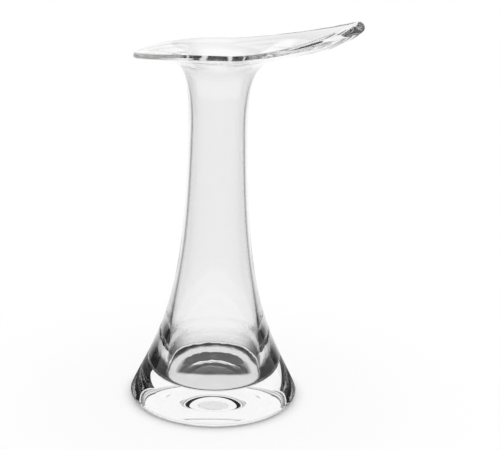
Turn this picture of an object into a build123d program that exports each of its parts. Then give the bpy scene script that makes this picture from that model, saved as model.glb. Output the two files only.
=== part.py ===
"""Fan vase in clear blown glass: heavy conical foot, waisted neck, leaf-shaped lip with a raised tip.

Millimetres, +Z up, the foot stands on Z = 0 with the vase's axis on the Z axis, and the tip of the
lip points along +X. The vase is symmetric about the XZ plane. The foot stands on a flat ring round
the kick in its underside.
"""

import os
from math import atan2, cos, exp, hypot, radians, sin

from build123d import *

os.makedirs("parts", exist_ok=True)

# Foot and skirt: the outside radius falls off from the foot toward the waist
foot_radius = 67.8
waist_radius = 21.4
skirt_length = 71.1
skirt_power = 1.243
foot_edge_round = 4.0

# Hollow
wall = 2.8
cavity_radius = 42.0
cavity_taper = 0.14
taper_height = 100.0
taper_fade = 6.0
shoulder_sharpness = 16.0
floor_height = 15.0
bowl_depth = 12.0
bowl_fullness = 5.0

# Kick: the shallow hollow pushed up into the underside
kick_depth = 4.8
kick_radius = 38.0
kick_fade = 1.5

# Neck, where the skirt ends and the flare of the lip starts
neck_height = 216.0

# Lip seen from above: a leaf around a point beside the axis
lip_centre = 8.0
tip_reach = 94.8
heel_reach = 70.0
lip_half_width = 46.8
tip_pinch = 0.66
heel_pinch = 0.50

# Lip seen from the side
rim_rise = 61.2
tip_lift = 18.4
tip_sweep = 1.5
heel_droop = 5.6
rim_thickness = 4.3
tip_thickness = 8.8
knee_thickness = 3.5

# Knee of the flare, where the neck turns out into the lip: reach from the axis, height over the
# start of the flare and slope, for the sides, the heel and the tip
knee_reach_side = 34.0
knee_reach_heel = 38.0
knee_reach_tip = 40.0
knee_rise_side = 52.0
knee_rise_heel = 54.0
knee_rise_tip = 53.6
knee_slope_side = 38.0
knee_slope_heel = 3.0
knee_slope_tip = 12.0
rim_slope_side = 24.0
rim_slope_heel = -8.0
rim_slope_tip = 42.0

# Values that follow from the ones above
seam_height = floor_height + bowl_depth + 1.0
rim_height = neck_height + rim_rise

# Fineness of the turned profiles and of the lip's skin
kick_steps = 8
bowl_steps = 8
curve_steps = 40
skin_steps = 26
turn_step = 6


def skirt(z):
    """Outside radius of foot, cone and neck at height z."""
    return waist_radius + (foot_radius - waist_radius) * exp(-((z / skirt_length) ** skirt_power))


def bore(z):
    """Radius of the hollow at height z: the skirt less the wall, or the cavity, whichever is smaller.

    The cavity narrows from its floor upward, and its taper dies out toward the taper height.
    """
    rise = ((z - floor_height) ** -taper_fade + taper_height**-taper_fade) ** (-1 / taper_fade)
    cavity = cavity_radius - cavity_taper * rise
    follow = skirt(z) - wall
    k = shoulder_sharpness
    return (follow**-k + cavity**-k) ** (-1 / k)


def kick_path():
    """Points on the underside from its middle to the edge of the kick, where the foot's ring starts."""
    points = []
    for i in range(kick_steps + 1):
        share = i / kick_steps
        points.append((kick_radius * share, kick_depth * (1 - share**2) ** kick_fade))
    return points


def bowl_path():
    """Points on the rounded bottom of the hollow, from its wall to the middle of its floor.

    A superellipse: the upper half is stepped evenly down, the lower half evenly across.
    """
    n = bowl_fullness
    half = 0.5 ** (1 / n)
    shares = [half * i / bowl_steps for i in range(bowl_steps + 1)]
    steps = [((1 - down**n) ** (1 / n), down) for down in shares]
    steps += [(across, (1 - across**n) ** (1 / n)) for across in reversed(shares[:-1])]
    points = []
    for across, down in steps:
        rise = bowl_depth * (1 - down)
        points.append(((cavity_radius - cavity_taper * rise) * across, floor_height + rise))
    return points


def slope_of(radius, z):
    """Direction of a wall going up at height z, as (radius, height)."""
    step = 0.05
    run = (radius(z + step) - radius(z - step)) / (2 * step)
    return (run, 1.0)


def stations(radius, low, high, count):
    """Points on a turned wall between two heights, closer together toward the bottom."""
    points = []
    for i in range(count):
        share = (i / (count - 1)) ** 1.3
        z = low + (high - low) * share
        points.append((radius(z), z))
    return points


def blend(side, heel, tip, c):
    """Value round the lip: side in the middle, heel where c is -1, tip where c is 1."""
    if c > 0:
        return side + (tip - side) * c**2
    return side + (heel - side) * c**2


def lip_outline(turn):
    """Crest of the rim in plan and its height, for a turn of 0 at the tip and 180 at the heel."""
    c = cos(radians(turn))
    s = sin(radians(turn))
    if c > 0:
        x = lip_centre + tip_reach * c
        y = lip_half_width * s * (1 - tip_pinch * c**2)
        z = rim_height + tip_lift * c**tip_sweep
    else:
        x = lip_centre + heel_reach * c
        y = lip_half_width * s * (1 - heel_pinch * (-c) ** 5)
        z = rim_height - heel_droop * (-c) ** 2.8
    return x, y, z


def polar(start, length, angle):
    """Point at a length and an angle from a start point."""
    return (start[0] + length * cos(radians(angle)), start[1] + length * sin(radians(angle)))


def curve(a, b, c, d):
    """Points on the cubic curve with these four handles, both ends included."""
    points = []
    for i in range(curve_steps + 1):
        t = i / curve_steps
        s = 1 - t
        weights = (s**3, 3 * s**2 * t, 3 * s * t**2, t**3)
        points.append(tuple(sum(w * p[k] for w, p in zip(weights, (a, b, c, d))) for k in (0, 1)))
    return points


def spaced(points):
    """The same path from its first point, in steps that start small and grow evenly."""
    lengths = [0.0]
    for before, after in zip(points, points[1:]):
        lengths.append(lengths[-1] + hypot(after[0] - before[0], after[1] - before[1]))
    picked = []
    k = 0
    for i in range(skin_steps + 1):
        share = i / skin_steps
        goal = lengths[-1] * share * (0.25 + 0.75 * share)
        while k < len(points) - 2 and lengths[k + 1] < goal:
            k += 1
        part = (goal - lengths[k]) / max(lengths[k + 1] - lengths[k], 1e-9)
        part = min(max(part, 0.0), 1.0)
        picked.append(tuple(points[k][j] + (points[k + 1][j] - points[k][j]) * part for j in (0, 1)))
    return picked


def lip_section(turn):
    """Skin of the lip at this turn: up the outside, over the rim and down the inside of the neck."""
    x, y, z = lip_outline(turn)
    c = cos(radians(turn))
    azimuth = atan2(y, x)
    rim = (hypot(x, y), z)
    rim_half = (rim_thickness + (tip_thickness - rim_thickness) * max(c, 0.0) ** 3) / 2
    rim_slope = blend(rim_slope_side, rim_slope_heel, rim_slope_tip, c)
    knee_slope = blend(knee_slope_side, knee_slope_heel, knee_slope_tip, c)
    knee_reach = blend(knee_reach_side, knee_reach_heel, knee_reach_tip, c)
    knee_rise = blend(knee_rise_side, knee_rise_heel, knee_rise_tip, c)

    under_knee = (knee_reach, neck_height + knee_rise)
    upper_knee = polar(under_knee, knee_thickness, knee_slope + 90)
    under_rim = polar(rim, rim_half, rim_slope - 90)
    upper_rim = polar(rim, rim_half, rim_slope + 90)

    outer_neck = (skirt(neck_height), neck_height)
    inner_neck = (bore(neck_height), neck_height)
    outer_run = slope_of(skirt, neck_height)[0]
    inner_run = slope_of(bore, neck_height)[0]
    rise = 0.80 * knee_rise
    reach = 0.55 * (knee_reach - outer_neck[0])
    span = 0.36 * (rim[0] - knee_reach)
    quarter = [90 * i / 8 for i in range(8)]

    under = [polar(rim, rim_half, rim_slope - swing) for swing in quarter]
    under += curve(
        under_rim,
        polar(under_rim, -span, rim_slope),
        polar(under_knee, span, knee_slope),
        under_knee,
    )
    under += curve(
        under_knee,
        polar(under_knee, -reach, knee_slope),
        (outer_neck[0] + rise * outer_run, neck_height + rise),
        outer_neck,
    )[1:]
    upper = [polar(rim, rim_half, rim_slope + swing) for swing in quarter]
    upper += curve(
        upper_rim,
        polar(upper_rim, -span, rim_slope),
        polar(upper_knee, span, knee_slope),
        upper_knee,
    )
    upper += curve(
        upper_knee,
        polar(upper_knee, -reach, knee_slope),
        (inner_neck[0] + rise * inner_run, neck_height + rise),
        inner_neck,
    )[1:]
    loop = list(reversed(spaced(under))) + spaced(upper)[1:]
    return [Vector(r * cos(azimuth), r * sin(azimuth), h) for r, h in loop]


# Solid foot: kicked underside, foot and sham with the rounded bottom of the hollow, turned about the axis
with BuildPart() as solid_foot:
    with BuildSketch(Plane.XZ):
        with BuildLine():
            foot_wall = stations(skirt, foot_edge_round, seam_height, 5)
            foot_edge = foot_wall[0][0]
            seam_bore = bore(seam_height)
            bowl = bowl_path()
            Spline(kick_path(), tangents=((1, 0), (1, 0)))
            Line((kick_radius, 0), (foot_edge - foot_edge_round, 0))
            RadiusArc((foot_edge - foot_edge_round, 0), foot_wall[0], -foot_edge_round)
            Spline(foot_wall, tangents=(slope_of(skirt, foot_edge_round), slope_of(skirt, seam_height)))
            Line(foot_wall[-1], (seam_bore, seam_height))
            Line((seam_bore, seam_height), bowl[0])
            Spline(bowl, tangents=((cavity_taper, -1), (-1, 0)))
            Line((0, floor_height), (0, kick_depth))
        make_face()
    revolve(axis=Axis.Z)

solid_foot.part.label = "solid_foot"
export_step(solid_foot.part, "parts/solid_foot.step")


# Blown body: hollow cone and neck, turned about the axis
with BuildPart() as blown_body:
    with BuildSketch(Plane.XZ):
        with BuildLine():
            outer_wall = stations(skirt, seam_height, neck_height, 8)
            inner_wall = stations(bore, seam_height, neck_height, 12)
            Line(inner_wall[0], outer_wall[0])
            Spline(
                outer_wall,
                tangents=(slope_of(skirt, seam_height), slope_of(skirt, neck_height)),
            )
            Line(outer_wall[-1], inner_wall[-1])
            Spline(
                inner_wall,
                tangents=(slope_of(bore, seam_height), slope_of(bore, neck_height)),
            )
        make_face()
    revolve(axis=Axis.Z)

blown_body.part.label = "blown_body"
export_step(blown_body.part, "parts/blown_body.step")


# Drawn lip: one smooth skin through the sections all round, closed by the ring it stands on
with BuildPart() as drawn_lip:
    skin = Face.make_surface_from_array_of_points(
        [lip_section(turn) for turn in range(-180, 181, turn_step)], tol=0.02, min_deg=3, max_deg=3
    )
    neck_edges = [edge for edge in skin.edges() if edge.center().Z < neck_height + 1]
    rings = sorted(neck_edges, key=lambda edge: edge.length)
    ring = Face(Wire([rings[1]]), [Wire([rings[0]])])
    add(Solid(Shell([skin, ring])))

drawn_lip.part.label = "drawn_lip"
export_step(drawn_lip.part, "parts/drawn_lip.step")
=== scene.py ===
"""Fan vase in clear blown glass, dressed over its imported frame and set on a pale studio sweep."""

import math

import bpy
import numpy as np
from mathutils import Matrix


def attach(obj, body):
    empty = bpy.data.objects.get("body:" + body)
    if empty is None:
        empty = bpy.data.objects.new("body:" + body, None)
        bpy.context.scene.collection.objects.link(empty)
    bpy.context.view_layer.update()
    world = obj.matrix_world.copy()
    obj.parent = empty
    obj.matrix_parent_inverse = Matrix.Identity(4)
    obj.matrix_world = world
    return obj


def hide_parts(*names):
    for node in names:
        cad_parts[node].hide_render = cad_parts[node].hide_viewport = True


bl_info = {
    "name": "Fan vase",
    "version": (1, 0, 0),
    "blender": (4, 5, 0),
    "location": "View3D > Sidebar > Fan vase",
    "description": "Makes a clear blown glass vase with a leaf-shaped lip, and its studio",
    "category": "Add Mesh",
}

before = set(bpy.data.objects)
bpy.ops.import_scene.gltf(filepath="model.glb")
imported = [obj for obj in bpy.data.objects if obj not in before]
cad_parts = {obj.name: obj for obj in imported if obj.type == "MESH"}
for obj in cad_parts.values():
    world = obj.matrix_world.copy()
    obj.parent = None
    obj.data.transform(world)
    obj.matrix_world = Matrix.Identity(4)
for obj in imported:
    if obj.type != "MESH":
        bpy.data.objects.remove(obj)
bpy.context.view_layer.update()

NODES = ("solid_foot", "blown_body", "drawn_lip")
PHOTO_WIDTH = 500.0


def length(name, description, default):
    """A size in metres that a user may change."""
    return bpy.props.FloatProperty(
        name=name, description=description, default=default, unit="LENGTH", precision=5
    )


def ratio(name, description, default):
    """A plain number that a user may change."""
    return bpy.props.FloatProperty(name=name, description=description, default=default, precision=4)


def angle(name, description, default):
    """An angle, given here in degrees, that a user may change."""
    return bpy.props.FloatProperty(
        name=name, description=description, default=math.radians(default), subtype="ANGLE"
    )


def tint(name, description, default):
    """A colour that a user may change."""
    return bpy.props.FloatVectorProperty(
        name=name, description=description, default=default, size=4, min=0.0, max=1.0, subtype="COLOR"
    )


class FanVaseSizes(bpy.types.PropertyGroup):
    """Sizes of the vase."""

    foot_radius: length("Foot radius", "Outside radius of the foot", 0.0678)
    waist_radius: length("Waist radius", "Outside radius that the skirt falls to", 0.0214)
    skirt_length: length("Skirt length", "Height over which the skirt falls to a third", 0.0711)
    skirt_power: ratio("Skirt power", "How long the skirt stays wide before it falls", 1.243)
    foot_edge_round: length("Foot edge round", "Radius of the foot's lower edge", 0.0040)
    wall: length("Wall", "Thickness of the blown wall", 0.0028)
    cavity_radius: length("Cavity radius", "Radius of the hollow at its floor", 0.042)
    cavity_taper: ratio("Cavity taper", "Loss of radius of the hollow per unit of height", 0.14)
    taper_height: length("Taper height", "Height over the floor toward which the taper dies out", 0.100)
    taper_fade: ratio("Taper fade", "How suddenly the taper dies out", 6.0)
    shoulder_sharpness: ratio("Shoulder sharpness", "How short the hollow's shoulder is", 16.0)
    floor_height: length("Floor height", "Height of the hollow's floor over the table", 0.0150)
    bowl_depth: length("Bowl depth", "Height over which the hollow's bottom is rounded", 0.0120)
    bowl_fullness: ratio("Bowl fullness", "How square the rounded bottom is, 2 for an ellipse", 5.0)
    kick_depth: length("Kick depth", "Depth of the hollow pushed into the underside", 0.0048)
    kick_radius: length("Kick radius", "Radius of the hollow in the underside", 0.0380)
    kick_fade: ratio("Kick fade", "How softly the underside's hollow runs out", 1.5)
    neck_height: length("Neck height", "Height at which the flare of the lip starts", 0.216)
    lip_centre: length("Lip centre", "Offset of the lip's middle from the axis", 0.008)
    tip_reach: length("Tip reach", "Reach of the lip from its middle to the tip", 0.0948)
    heel_reach: length("Heel reach", "Reach of the lip from its middle to the heel", 0.070)
    lip_half_width: length("Lip half width", "Half of the lip's greatest width", 0.0468)
    tip_pinch: ratio("Tip pinch", "How much the lip narrows toward the tip", 0.66)
    heel_pinch: ratio("Heel pinch", "How much the lip narrows toward the heel", 0.50)
    rim_rise: length("Rim rise", "Height of the rim over the neck", 0.0612)
    tip_lift: length("Tip lift", "Height of the tip over the rim", 0.0184)
    tip_sweep: ratio("Tip sweep", "How late the rim rises toward the tip", 1.5)
    heel_droop: length("Heel droop", "Drop of the heel under the rim", 0.0056)
    rim_thickness: length("Rim thickness", "Thickness of the rounded rim", 0.0043)
    tip_thickness: length("Tip thickness", "Thickness of the rounded tip", 0.0088)
    knee_thickness: length("Knee thickness", "Thickness where the flare turns out", 0.0035)


class FanVaseLook(bpy.types.PropertyGroup):
    """Finish of the glass, the stage and the camera."""

    glass_tint: tint("Glass tint", "Colour of the clear glass", (0.985, 0.985, 0.985, 1.0))
    wave_strength: ratio("Wave strength", "Strength of the waves in the glass", 0.15)
    haze: ratio("Haze", "Roughness of the haziest places on the glass", 0.012)
    floor_tint: tint("Floor tint", "Colour of the pale floor", (0.93, 0.93, 0.93, 1.0))
    card_tint: tint("Card tint", "Colour of the dark cards beside the vase", (0.004, 0.004, 0.004, 1.0))
    camera_distance: length("Camera distance", "Distance of the camera from the axis", 0.8745)
    camera_height: length("Camera height", "Height of the camera", 0.4084)
    camera_focus: ratio("Camera focus", "Focal length in pixels of the photograph's width", 1178.0)
    camera_pitch: angle("Camera pitch", "How far the camera looks down", 16.98)
    camera_yaw: angle("Camera yaw", "How far the camera looks to the right", 1.71)
    camera_roll: angle("Camera roll", "How far the camera leans", 1.56)


# Fineness of the glass: columns once round, rows along the profile and the powers that space them
COLUMNS = 280
KICK_ROWS = 34
RING_ROWS = 4
EDGE_ROWS = 11
SKIRT_ROWS = 80
SKIRT_SPACING = 1.2
FLARE_ROWS = 34
LEAF_ROWS = 20
CREST_ROWS = 17
WALL_ROWS = 58
WALL_SPACING = 0.8
CORNER_ROWS = 20
FLOOR_ROWS = 28

# Radius at which the fan of triangles round a pole starts, and the last rows before the foot's edge
POLE_RADIUS = 0.0004
EDGE_MARGINS = (0.0003, 0.0001)

# Flare and rim of the lip at its sides, its heel and its tip, in metres and degrees
LIP_KNEES = {
    "reach": (0.034, 0.038, 0.040),
    "rise": (0.052, 0.054, 0.0536),
    "slope": (38.0, 3.0, 12.0),
    "rim": (24.0, -8.0, 42.0),
}

# Powers of the cosine with which the lip narrows, droops and swells toward its ends
TIP_PINCH_POWER = 2
HEEL_PINCH_POWER = 5
HEEL_DROOP_POWER = 2.8
TIP_SWELL_POWER = 3

# Handles of the lip's curves, as shares of the rise to the knee and the reaches to the knee and the rim
CLIMB_SHARE = 0.80
PULL_SHARE = 0.55
SPAN_SHARE = 0.36

# Columns turn from an even spacing to the lip's sections from this height to this far under the neck
FAN_START = 0.120
FAN_END_DROP = 0.006

# Half of the height over which a slope is measured
RATE_STEP = 0.00005


def skirt_radius(sizes, z):
    """Outside radius: the waist plus the foot's excess times e to the minus (height over length)^power."""
    fall = (np.maximum(z, 0.0) / sizes.skirt_length) ** sizes.skirt_power
    return sizes.waist_radius + (sizes.foot_radius - sizes.waist_radius) * np.exp(-fall)


def bore_radius(sizes, z):
    """Radius of the hollow: the soft minimum of the skirt less the wall and of the tapered cavity.

    The cavity loses the taper times its rise over the floor, the soft minimum of the rise itself and the
    taper height. A soft minimum of two values is the sum of their minus k-th powers, to the minus 1 over k.
    """
    fade = sizes.taper_fade
    k = sizes.shoulder_sharpness
    rise = ((z - sizes.floor_height) ** -fade + sizes.taper_height**-fade) ** (-1.0 / fade)
    cavity = sizes.cavity_radius - sizes.cavity_taper * rise
    follow = skirt_radius(sizes, z) - sizes.wall
    return (follow**-k + cavity**-k) ** (-1.0 / k)


def rate(function, sizes, z):
    """Rise of a radius per unit of height, from two heights close together."""
    return (function(sizes, z + RATE_STEP) - function(sizes, z - RATE_STEP)) / (2.0 * RATE_STEP)


def round_lip(values, c):
    """Value round the lip: side in the middle, heel where the cosine is -1, tip where it is 1."""
    side, heel, tip = values
    return side + (np.where(c > 0.0, tip, heel) - side) * c**2


def cubic(a, b, c, d, count):
    """Cubic curve through four handles, each a pair of arrays over the columns, as count rows."""
    t = np.linspace(0.0, 1.0, count)[:, None]
    s = 1.0 - t
    weights = (s**3, 3.0 * s**2 * t, 3.0 * s * t**2, t**3)
    return tuple(sum(w * p[k][None] for w, p in zip(weights, (a, b, c, d))) for k in (0, 1))


def along(start, distance, direction):
    """Point at a distance and a direction from a start, in the plane of radius and height."""
    return (start[0] + distance * np.cos(direction), start[1] + distance * np.sin(direction))


def turned(radius, height):
    """A profile of radii and heights as rows that are the same in every column."""
    ones = np.ones(COLUMNS)
    return np.asarray(radius)[:, None] * ones, np.asarray(height)[:, None] * ones


def lip_rows(sizes, turn):
    """Rows of the lip from the neck's outside over the rim to the neck's inside, and its azimuths.

    The crest of the rim is a leaf: x is the middle plus a reach times the cosine of the turn, y is the
    half width times the sine, pinched toward both ends, and z rises toward the tip and falls toward the
    heel. Each section lies in the half plane through the axis: two cubic curves from the neck over the
    knee to the rim, half a circle over the rim, and two cubic curves back inside. The half circle grows
    from the rim's thickness to the tip's with a power of the cosine.
    """
    c = np.cos(turn)
    s = np.sin(turn)
    fore = c > 0.0
    x = sizes.lip_centre + np.where(fore, sizes.tip_reach, sizes.heel_reach) * c
    tip_pinch = sizes.tip_pinch * c**TIP_PINCH_POWER
    heel_pinch = sizes.heel_pinch * np.abs(c) ** HEEL_PINCH_POWER
    y = sizes.lip_half_width * s * (1.0 - np.where(fore, tip_pinch, heel_pinch))
    tip_lift = sizes.tip_lift * np.abs(c) ** sizes.tip_sweep
    heel_drop = sizes.heel_droop * np.abs(c) ** HEEL_DROOP_POWER
    lift = np.where(fore, tip_lift, -heel_drop)
    rim = (np.hypot(x, y), sizes.neck_height + sizes.rim_rise + lift)

    neck = np.full_like(c, sizes.neck_height)
    outer = (skirt_radius(sizes, neck), neck)
    inner = (bore_radius(sizes, neck), neck)
    reach = round_lip(LIP_KNEES["reach"], c)
    rise = round_lip(LIP_KNEES["rise"], c)
    knee_slope = np.radians(round_lip(LIP_KNEES["slope"], c))
    rim_slope = np.radians(round_lip(LIP_KNEES["rim"], c))
    swell = np.maximum(c, 0.0) ** TIP_SWELL_POWER
    half = (sizes.rim_thickness + (sizes.tip_thickness - sizes.rim_thickness) * swell) / 2.0
    right = math.pi / 2.0

    knee = (reach, neck + rise)
    upper_knee = along(knee, sizes.knee_thickness, knee_slope + right)
    under_rim = along(rim, half, rim_slope - right)
    upper_rim = along(rim, half, rim_slope + right)
    climb = CLIMB_SHARE * rise
    pull = PULL_SHARE * (reach - outer[0])
    span = SPAN_SHARE * (rim[0] - reach)
    outer_handle = (outer[0] + climb * rate(skirt_radius, sizes, neck), neck + climb)
    inner_handle = (inner[0] + climb * rate(bore_radius, sizes, neck), neck + climb)

    flare = cubic(outer, outer_handle, along(knee, -pull, knee_slope), knee, FLARE_ROWS)
    under_handles = (along(knee, span, knee_slope), along(under_rim, -span, rim_slope))
    under = cubic(knee, *under_handles, under_rim, LEAF_ROWS)
    swing = np.radians(np.linspace(-90.0, 90.0, CREST_ROWS))[1:-1, None]
    crest = along(rim, half, rim_slope + swing)
    upper_handles = (along(upper_rim, -span, rim_slope), along(upper_knee, span, knee_slope))
    upper = cubic(upper_rim, *upper_handles, upper_knee, LEAF_ROWS)
    throat = cubic(upper_knee, along(upper_knee, -pull, knee_slope), inner_handle, inner, FLARE_ROWS)
    rows = [
        np.concatenate([flare[k], under[k][1:], crest[k], upper[k], throat[k][1:]]) for k in (0, 1)
    ]
    return rows[0], rows[1], np.unwrap(np.arctan2(y, x))


def outside_rows(sizes):
    """Rows of the underside with its kick, the foot's rounded edge and the skirt up to the neck.

    The kick's height is its depth times (1 minus the square of the radius over the kick's)^fade.
    """
    edge = sizes.foot_edge_round
    base = float(skirt_radius(sizes, np.array(edge))) - edge
    far, near = EDGE_MARGINS
    dish = np.linspace(POLE_RADIUS, sizes.kick_radius, KICK_ROWS)[:-1]
    ring = np.linspace(sizes.kick_radius, base - far, RING_ROWS)
    flat = np.concatenate([dish, ring, [base - near, base]])
    share = np.clip(1.0 - (flat / sizes.kick_radius) ** 2, 0.0, 1.0)
    kick = sizes.kick_depth * share**sizes.kick_fade
    swing = np.radians(np.linspace(-90.0, 0.0, EDGE_ROWS))[1:-1]
    steps = np.linspace(0.0, 1.0, SKIRT_ROWS)[:-1] ** SKIRT_SPACING
    rise = edge + (sizes.neck_height - edge) * steps
    radius = np.concatenate([flat, base + edge * np.cos(swing), skirt_radius(sizes, rise)])
    height = np.concatenate([kick, edge + edge * np.sin(swing), rise])
    return turned(radius, height)


def inside_rows(sizes):
    """Rows of the hollow from the neck down its wall and round its bottom to the middle of the floor.

    The bottom is a superellipse: with across as the share of the cavity's radius and down as the share of
    the bowl's depth, across^n plus down^n is 1. The upper half is stepped evenly down, the lower half
    evenly across.
    """
    n = sizes.bowl_fullness
    top = sizes.floor_height + sizes.bowl_depth
    steps = np.linspace(0.0, 1.0, WALL_ROWS)[1:] ** WALL_SPACING
    fall = sizes.neck_height - (sizes.neck_height - top) * steps
    half = 0.5 ** (1.0 / n)
    down = np.linspace(0.0, half, CORNER_ROWS)[1:]
    across = np.linspace(half, 0.0, FLOOR_ROWS)[1:-1]
    down = np.concatenate([down, (1.0 - across**n) ** (1.0 / n)])
    across = (1.0 - np.minimum(down, 1.0) ** n) ** (1.0 / n)
    rise = sizes.bowl_depth * (1.0 - down)
    bowl = np.maximum((sizes.cavity_radius - sizes.cavity_taper * rise) * across, POLE_RADIUS)
    radius = np.concatenate([bore_radius(sizes, fall), bowl])
    height = np.concatenate([fall, sizes.floor_height + rise])
    return turned(radius, height)


def vase_surface(sizes):
    """Points and faces of the closed skin of glass, from the underside's middle to the hollow's middle.

    One parameter runs along the profile and the other once round. The azimuth of a column is the turn
    itself low down and goes over smoothly to the azimuth of the lip's sections between waist and neck.
    """
    turn = np.linspace(0.0, 2.0 * math.pi, COLUMNS, endpoint=False)
    outside = outside_rows(sizes)
    lip_radius, lip_height, lip_azimuth = lip_rows(sizes, turn)
    inside = inside_rows(sizes)
    radius = np.concatenate([outside[0], lip_radius, inside[0]])
    height = np.concatenate([outside[1], lip_height, inside[1]])
    fan_rise = sizes.neck_height - FAN_END_DROP - FAN_START
    share = np.clip((height - FAN_START) / fan_rise, 0.0, 1.0)
    share = share**2 * (3.0 - 2.0 * share)
    azimuth = turn[None] * (1.0 - share) + lip_azimuth[None] * share
    grid = np.stack([radius * np.cos(azimuth), radius * np.sin(azimuth), height], axis=-1)

    rows = grid.shape[0]
    index = np.arange(rows * COLUMNS).reshape(rows, COLUMNS)
    after = np.roll(index, -1, axis=1)
    quads = np.stack([index[:-1], after[:-1], after[1:], index[1:]], axis=-1).reshape(-1, 4)
    low_pole = rows * COLUMNS
    high_pole = low_pole + 1
    low_fan = np.stack([np.full(COLUMNS, low_pole), after[0], index[0]], axis=-1)
    high_fan = np.stack([np.full(COLUMNS, high_pole), index[-1], after[-1]], axis=-1)
    poles = [[0.0, 0.0, grid[0, 0, 2]], [0.0, 0.0, grid[-1, 0, 2]]]
    points = np.concatenate([grid.reshape(-1, 3), poles])
    return points, quads, np.concatenate([low_fan, high_fan])


def make_mesh(name, points, quads, triangles):
    """A smooth mesh from arrays of points, four-sided faces and three-sided faces."""
    mesh = bpy.data.meshes.new(name)
    corners = np.concatenate([quads.reshape(-1), triangles.reshape(-1)])
    starts = np.concatenate(
        [np.arange(len(quads)) * 4, len(quads) * 4 + np.arange(len(triangles)) * 3]
    )
    mesh.vertices.add(len(points))
    mesh.vertices.foreach_set("co", points.astype(np.float32).reshape(-1))
    mesh.loops.add(len(corners))
    mesh.loops.foreach_set("vertex_index", corners.astype(np.int32))
    mesh.polygons.add(len(starts))
    mesh.polygons.foreach_set("loop_start", starts.astype(np.int32))
    mesh.polygons.foreach_set("use_smooth", np.ones(len(starts), dtype=bool))
    mesh.update(calc_edges=True)
    if mesh.validate():
        raise RuntimeError("the faces of " + name + " are not sound")
    return mesh


def add_object(name, mesh, material):
    """An object at the origin with this mesh and material."""
    piece = bpy.data.objects.new(name, mesh)
    mesh.materials.append(material)
    bpy.context.scene.collection.objects.link(piece)
    return piece


def degree_step(start, end, low, high):
    """A smooth step between two angles in degrees, as the values that ease takes."""
    return (math.radians(start), math.radians(end), low, high)


# Glass: index, scale and detail of its noises, depth of its waves, and steps as start, end, low, high
GLASS_INDEX = 1.5
WAVE_NOISE = (95.0, 2.0)
WAVE_DISTANCE = 0.001
WAVES_START = (0.022, 0.032, 0.05, 1.0)
WAVES_END = (0.045, 0.090, 1.0, 0.06)
HAZE_NOISE = (40.0, 3.0)
HAZE_FROM = (0.35, 0.75)

# Floor to the eye: steps of white by distance from the axis, near the foot and far from it
NEAR_WHITE = (0.064, 0.076, 0.0, 0.8)
FAR_WHITE = (0.070, 0.250, 0.0, 0.2)

# Floor in the glass, painted light and shade: steps by bearing from straight behind, by distance and by
# depth behind the axis
# Painted shade: to reflected rays the floor is dark before and beside the vase, white behind it
FLOOR_BEHIND = degree_step(20.0, 62.0, 1.0, 0.02)
# Painted shadow: the floor in the glass is grey near the foot
PAINTED_FOOT_SHADOW = (0.066, 0.090, 0.80, 1.0)
# Painted light under the kick and painted shadow under the ring that the foot stands on
PAINTED_KICK_LIGHT_RING_SHADOW = (0.040, 0.048, 0.80, 0.02)
# Painted shade under the kick behind the axis, seen straight through the glass: by depth behind the axis,
# then by reach
PAINTED_SHADE_DEPTH = (-0.002, 0.003, 0.0, 0.98)
PAINTED_SHADE_REACH = (0.031, 0.038, 1.0, 0.0)

# World in the glass: steps by height over the horizon and by bearing from straight behind
WORLD_TOP = degree_step(35.0, 37.0, 1.0, 0.02)
WORLD_SIDE = degree_step(48.0, 90.0, 1.0, 0.02)
WORLD_LOW = degree_step(18.0, 24.0, 0.60, 0.0)
WORLD_OVERHEAD = degree_step(52.0, 66.0, 0.0, 0.80)

# Light of the world on matt surfaces and to the eye, and the ray depth that divides none from some
MATT_LIGHT = 0.95
EYE_LIGHT = 1.0
NO_DEPTH = 0.5


def new_tree(material):
    """The empty node tree of a material or world, with its output node."""
    material.use_nodes = True
    tree = material.node_tree
    tree.nodes.clear()
    kind = "ShaderNodeOutputWorld" if isinstance(material, bpy.types.World) else "ShaderNodeOutputMaterial"
    return tree, tree.nodes.new(kind)


def calc(tree, operation, first, second=None):
    """A Math node on sockets or numbers, and its result."""
    node = tree.nodes.new("ShaderNodeMath")
    node.operation = operation
    for socket, value in zip(node.inputs, (first, second)):
        if isinstance(value, bpy.types.NodeSocket):
            tree.links.new(value, socket)
        elif value is not None:
            socket.default_value = value
    return node.outputs[0]


def ease(tree, value, start, end, low, high):
    """A smooth step of a socket's value from low at start to high at end."""
    node = tree.nodes.new("ShaderNodeMapRange")
    node.interpolation_type = "SMOOTHSTEP"
    tree.links.new(value, node.inputs["Value"])
    node.inputs["From Min"].default_value = start
    node.inputs["From Max"].default_value = end
    node.inputs["To Min"].default_value = low
    node.inputs["To Max"].default_value = high
    return node.outputs["Result"]


def noise(tree, place, scale, detail):
    """A Noise Texture node on a place socket, and its value from 0 to 1."""
    node = tree.nodes.new("ShaderNodeTexNoise")
    tree.links.new(place, node.inputs["Vector"])
    node.inputs["Scale"].default_value = scale
    node.inputs["Detail"].default_value = detail
    return node.outputs["Fac"]


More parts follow.
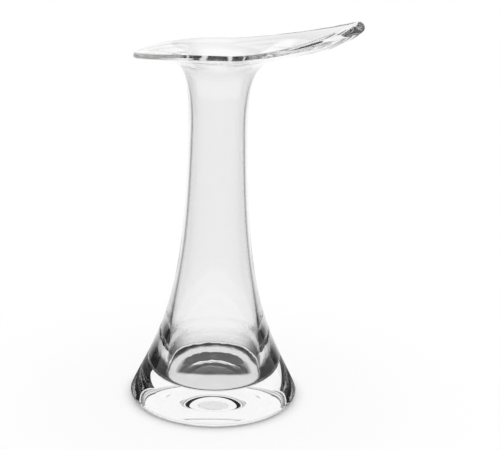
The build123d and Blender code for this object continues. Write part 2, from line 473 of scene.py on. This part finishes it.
def clear_glass(look):
    """Polished clear glass, a little hazy in places, with waves from hot working low on the skirt."""
    material = bpy.data.materials.new("clear_glass")
    tree, output = new_tree(material)
    place = tree.nodes.new("ShaderNodeTexCoord")
    parts = tree.nodes.new("ShaderNodeSeparateXYZ")
    tree.links.new(place.outputs["Object"], parts.inputs[0])
    rising = ease(tree, parts.outputs["Z"], *WAVES_START)
    falling = ease(tree, parts.outputs["Z"], *WAVES_END)
    waves = noise(tree, place.outputs["Object"], *WAVE_NOISE)
    waves = calc(tree, "MULTIPLY", waves, calc(tree, "MULTIPLY", rising, falling))
    bump = tree.nodes.new("ShaderNodeBump")
    bump.inputs["Strength"].default_value = look.wave_strength
    bump.inputs["Distance"].default_value = WAVE_DISTANCE
    tree.links.new(waves, bump.inputs["Height"])
    haze = ease(tree, noise(tree, place.outputs["Object"], *HAZE_NOISE), *HAZE_FROM, 0.0, look.haze)
    shader = tree.nodes.new("ShaderNodeBsdfPrincipled")
    shader.inputs["Base Color"].default_value = tuple(look.glass_tint)
    shader.inputs["Transmission Weight"].default_value = 1.0
    shader.inputs["IOR"].default_value = GLASS_INDEX
    tree.links.new(haze, shader.inputs["Roughness"])
    tree.links.new(bump.outputs["Normal"], shader.inputs["Normal"])
    tree.links.new(shader.outputs["BSDF"], output.inputs["Surface"])
    return material


def mixed(tree, share, first, second):
    """A Mix Shader node between two shaders, and its result."""
    node = tree.nodes.new("ShaderNodeMixShader")
    tree.links.new(share, node.inputs["Fac"])
    tree.links.new(first, node.inputs[1])
    tree.links.new(second, node.inputs[2])
    return node.outputs[0]


def shine(tree, kind, strength):
    """White light of a floor's or a world's node, with a strength that is a number or a socket."""
    node = tree.nodes.new(kind)
    node.inputs["Color"].default_value = (1.0, 1.0, 1.0, 1.0)
    if isinstance(strength, bpy.types.NodeSocket):
        tree.links.new(strength, node.inputs["Strength"])
    else:
        node.inputs["Strength"].default_value = strength
    return node.outputs[0]


def studio_floor(look):
    """Pale matt floor that shows white away from the foot and keeps its shadow near it.

    Through the glass it glows with painted light and shade. Straight through, it is white all round but for
    a painted shadow near the foot and a painted shade under the kick from the axis backward. To rays that
    the glass reflects, it is white behind the vase, with painted shade before and beside it and a painted
    shadow under the ring that the foot stands on, and painted light, pale, under the kick.
    """
    material = bpy.data.materials.new("studio_floor")
    tree, output = new_tree(material)
    matt = tree.nodes.new("ShaderNodeBsdfDiffuse")
    matt.inputs["Color"].default_value = tuple(look.floor_tint)
    place = tree.nodes.new("ShaderNodeTexCoord")
    parts = tree.nodes.new("ShaderNodeSeparateXYZ")
    tree.links.new(place.outputs["Object"], parts.inputs[0])
    across = calc(tree, "MULTIPLY", parts.outputs["X"], parts.outputs["X"])
    deep = calc(tree, "MULTIPLY", parts.outputs["Y"], parts.outputs["Y"])
    distance = calc(tree, "SQRT", calc(tree, "ADD", across, deep))
    bearing = calc(tree, "ABSOLUTE", calc(tree, "ARCTAN2", parts.outputs["X"], parts.outputs["Y"]))
    ray = tree.nodes.new("ShaderNodeLightPath")

    white = calc(tree, "ADD", ease(tree, distance, *NEAR_WHITE), ease(tree, distance, *FAR_WHITE))
    to_eye = calc(tree, "MULTIPLY", white, ray.outputs["Is Camera Ray"])
    shown = mixed(tree, to_eye, matt.outputs[0], shine(tree, "ShaderNodeEmission", EYE_LIGHT))

    straight = calc(tree, "LESS_THAN", ray.outputs["Glossy Depth"], NO_DEPTH)
    # Painted light and shade of the floor in the glass: shade before and beside the vase in reflections, a
    # shadow near the foot and under the ring, light under the kick
    behind = calc(tree, "MAXIMUM", ease(tree, bearing, *FLOOR_BEHIND), straight)
    behind = calc(tree, "MULTIPLY", behind, ease(tree, distance, *PAINTED_FOOT_SHADOW))
    painted_light_and_shade = calc(tree, "MAXIMUM", behind, ease(tree, distance, *PAINTED_KICK_LIGHT_RING_SHADOW))
    # Painted shade: straight through the glass, the floor under the kick from the axis backward is dark
    painted_shade = ease(tree, parts.outputs["Y"], *PAINTED_SHADE_DEPTH)
    painted_shade = calc(tree, "MULTIPLY", painted_shade, ease(tree, distance, *PAINTED_SHADE_REACH))
    painted_shade = calc(tree, "MULTIPLY", painted_shade, straight)
    painted_light_and_shade = calc(tree, "MULTIPLY", painted_light_and_shade, calc(tree, "SUBTRACT", 1.0, painted_shade))
    # Rays through the glass see the floor glow with this painted light and shade instead of its matt
    # shading
    in_glass = calc(tree, "MAXIMUM", ray.outputs["Is Transmission Ray"], ray.outputs["Is Glossy Ray"])
    fresh = calc(tree, "LESS_THAN", ray.outputs["Diffuse Depth"], NO_DEPTH)
    in_glass = calc(tree, "MULTIPLY", in_glass, fresh)
    shown = mixed(tree, in_glass, shown, shine(tree, "ShaderNodeEmission", painted_light_and_shade))
    tree.links.new(shown, output.inputs["Surface"])
    return material


def dark_card(look):
    """Matt black card, as stood beside glass to draw its edges."""
    material = bpy.data.materials.new("dark_card")
    tree, output = new_tree(material)
    matt = tree.nodes.new("ShaderNodeBsdfDiffuse")
    matt.inputs["Color"].default_value = tuple(look.card_tint)
    tree.links.new(matt.outputs[0], output.inputs["Surface"])
    return material


def studio_world():
    """Light all round, white to the eye and straight through the glass.

    To rays that the glass reflects it is white behind the vase, dark higher up, dim low at the sides and
    toward the camera, and bright again overhead. Matt surfaces get plain light from everywhere.
    """
    world = bpy.data.worlds.new("studio_light")
    bpy.context.scene.world = world
    tree, output = new_tree(world)
    place = tree.nodes.new("ShaderNodeTexCoord")
    parts = tree.nodes.new("ShaderNodeSeparateXYZ")
    tree.links.new(place.outputs["Generated"], parts.inputs[0])
    bearing = calc(tree, "ABSOLUTE", calc(tree, "ARCTAN2", parts.outputs["X"], parts.outputs["Y"]))
    height = calc(tree, "ARCSINE", parts.outputs["Z"])
    ray = tree.nodes.new("ShaderNodeLightPath")

    seen = calc(tree, "MAXIMUM", ease(tree, bearing, *WORLD_SIDE), ease(tree, height, *WORLD_LOW))
    seen = calc(tree, "MULTIPLY", ease(tree, height, *WORLD_TOP), seen)
    seen = calc(tree, "MAXIMUM", seen, ease(tree, height, *WORLD_OVERHEAD))
    seen = calc(tree, "MAXIMUM", seen, calc(tree, "LESS_THAN", ray.outputs["Glossy Depth"], NO_DEPTH))
    bounced = calc(tree, "MINIMUM", ray.outputs["Diffuse Depth"], 1.0)
    kind = "ShaderNodeBackground"
    shown = mixed(tree, bounced, shine(tree, kind, seen), shine(tree, kind, MATT_LIGHT))
    shown = mixed(tree, ray.outputs["Is Camera Ray"], shown, shine(tree, kind, EYE_LIGHT))
    tree.links.new(shown, output.inputs["Surface"])


# Stage: light is reflected many times in the foot and along the lip before it leaves the glass
GLASS_BOUNCES = 96
FLOOR_HALF = 3.0
FLOOR_GAP = 0.0002
FLOOR_LINES = 13
NO_TRIANGLES = np.zeros((0, 3), dtype=int)

# Cards: two bearings in degrees from straight behind the vase, then the heights of both edges
CARD_DISTANCE = 0.50
CARD_LINES = 17
CARDS = (
    (31.0, 75.0, 0.125, 0.35),
    (-75.0, -50.0, 0.0, 0.35),
)

# Camera
SENSOR_WIDTH = 36.0
CLIP_START = 0.01


def floor_surface():
    """A flat square grid just under the foot."""
    side = np.linspace(-FLOOR_HALF, FLOOR_HALF, FLOOR_LINES)
    x, y = np.meshgrid(side, side, indexing="ij")
    points = np.stack([x, y, np.full_like(x, -FLOOR_GAP)], axis=-1).reshape(-1, 3)
    index = np.arange(points.shape[0]).reshape(len(side), len(side))
    quads = np.stack([index[:-1, :-1], index[1:, :-1], index[1:, 1:], index[:-1, 1:]], axis=-1)
    return points, quads.reshape(-1, 4), NO_TRIANGLES


def card_surface(start, end, low, high):
    """Part of an upright cylinder round the vase between two bearings from straight behind it."""
    bearings = np.radians(np.linspace(start, end, CARD_LINES))
    bearing, height = np.meshgrid(bearings, [low, high], indexing="ij")
    x = CARD_DISTANCE * np.sin(bearing)
    y = CARD_DISTANCE * np.cos(bearing)
    points = np.stack([x, y, height], axis=-1).reshape(-1, 3)
    index = np.arange(points.shape[0]).reshape(-1, 2)
    quads = np.stack([index[:-1, 0], index[1:, 0], index[1:, 1], index[:-1, 1]], axis=-1)
    return points, quads, NO_TRIANGLES


def add_camera(look):
    """The camera at the photograph's viewing angle: yaw about Z, then pitch down, then roll."""
    data = bpy.data.cameras.new("photo_camera")
    data.sensor_fit = "HORIZONTAL"
    data.sensor_width = SENSOR_WIDTH
    data.lens = data.sensor_width * look.camera_focus / PHOTO_WIDTH
    data.clip_start = CLIP_START
    camera = bpy.data.objects.new("photo_camera", data)
    bpy.context.scene.collection.objects.link(camera)
    turn = (
        Matrix.Rotation(-look.camera_yaw, 4, "Z")
        @ Matrix.Rotation(math.pi / 2.0 - look.camera_pitch, 4, "X")
        @ Matrix.Rotation(look.camera_roll, 4, "Z")
    )
    camera.matrix_world = Matrix.Translation((0.0, -look.camera_distance, look.camera_height)) @ turn
    bpy.context.scene.camera = camera


class FANVASE_OT_glass(bpy.types.Operator):
    """Make the vase as one closed skin of clear glass in place of its three solids"""

    bl_idname = "fan_vase.glass"
    bl_label = "Glass"

    def execute(self, context):
        scene = context.scene
        points, quads, triangles = vase_surface(scene.fan_vase_sizes)
        mesh = make_mesh("vase_glass", points, quads, triangles)
        piece = add_object("vase_glass", mesh, clear_glass(scene.fan_vase_look))
        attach(piece, "root")
        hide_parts(*NODES)
        return {"FINISHED"}


class FANVASE_OT_stage(bpy.types.Operator):
    """Set the pale floor, the dark cards, the light and the camera"""

    bl_idname = "fan_vase.stage"
    bl_label = "Stage"

    def execute(self, context):
        scene = context.scene
        look = scene.fan_vase_look
        scene.view_settings.view_transform = "Standard"
        scene.cycles.max_bounces = GLASS_BOUNCES
        scene.cycles.glossy_bounces = GLASS_BOUNCES
        scene.cycles.transmission_bounces = GLASS_BOUNCES
        floor = add_object("studio_floor", make_mesh("studio_floor", *floor_surface()), studio_floor(look))
        finish = dark_card(look)
        for number, place in enumerate(CARDS, 1):
            name = "dark_card_" + str(number)
            card = add_object(name, make_mesh(name, *card_surface(*place)), finish)
            card.visible_camera = False
            card.visible_diffuse = False
            card.visible_shadow = False
        studio_world()
        add_camera(look)
        return {"FINISHED"}


class FANVASE_PT_panel(bpy.types.Panel):
    """Sizes and makers of the fan vase"""

    bl_idname = "FANVASE_PT_panel"
    bl_label = "Fan vase"
    bl_space_type = "VIEW_3D"
    bl_region_type = "UI"
    bl_category = "Fan vase"

    def draw(self, context):
        layout = self.layout
        for group in (context.scene.fan_vase_sizes, context.scene.fan_vase_look):
            column = layout.column(align=True)
            for name in group.__annotations__:
                column.prop(group, name)
        for operator in (FANVASE_OT_glass, FANVASE_OT_stage):
            layout.operator(operator.bl_idname)


CLASSES = (FanVaseSizes, FanVaseLook, FANVASE_OT_glass, FANVASE_OT_stage, FANVASE_PT_panel)


def register():
    """Adds the classes and the two groups of settings to Blender."""
    for item in CLASSES:
        bpy.utils.register_class(item)
    bpy.types.Scene.fan_vase_sizes = bpy.props.PointerProperty(type=FanVaseSizes)
    bpy.types.Scene.fan_vase_look = bpy.props.PointerProperty(type=FanVaseLook)


def unregister():
    """Takes the settings and the classes away again."""
    del bpy.types.Scene.fan_vase_look
    del bpy.types.Scene.fan_vase_sizes
    for item in reversed(CLASSES):
        bpy.utils.unregister_class(item)


def main():
    """Makes the vase and its stage."""
    register()
    bpy.ops.fan_vase.glass()
    bpy.ops.fan_vase.stage()


if __name__ == "__main__":
    main()
